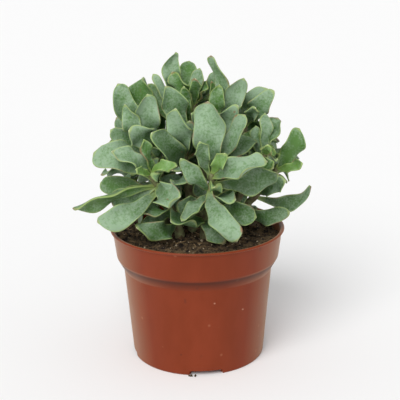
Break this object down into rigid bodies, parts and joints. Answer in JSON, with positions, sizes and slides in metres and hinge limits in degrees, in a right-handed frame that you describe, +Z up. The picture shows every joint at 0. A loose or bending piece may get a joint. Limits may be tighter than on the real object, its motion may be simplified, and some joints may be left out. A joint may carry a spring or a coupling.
{
  "type": "potted ripple jade plant",
  "caption": "Bushy succulent with broad wavy-edged leaves on short stems, planted in soil in a round plastic nursery pot.",
  "frame": {"origin": "centre of the foot ring's underside, on the surface that the pot stands on, below the middle of the plant's width", "axes": "+Z up along the pot's axis; the view the plant was built to match looks along +Y, with +X to its right"},
  "size_m": [0.1611, 0.1207, 0.2085],
  "materials": {
    "pot_plastic": "satin",
    "potting_soil": "matte",
    "jade_leaf": "satin"
  },
  "bodies": {
    "root": {"pot": "pot_plastic", "soil": "potting_soil", "stem_front": "jade_leaf", "stem_left": "jade_leaf", "stem_left_top": "jade_leaf", "stem_top": "jade_leaf", "stem_top_right": "jade_leaf", "stem_right": "jade_leaf", "stem_far_right": "jade_leaf", "stem_back_right": "jade_leaf", "stem_back_left": "jade_leaf", "stem_back": "jade_leaf", "stem_back_top": "jade_leaf", "stem_back_far_left": "jade_leaf", "stem_back_far_right": "jade_leaf", "stem_back_low": "jade_leaf"}
  },
  "joints": []
}
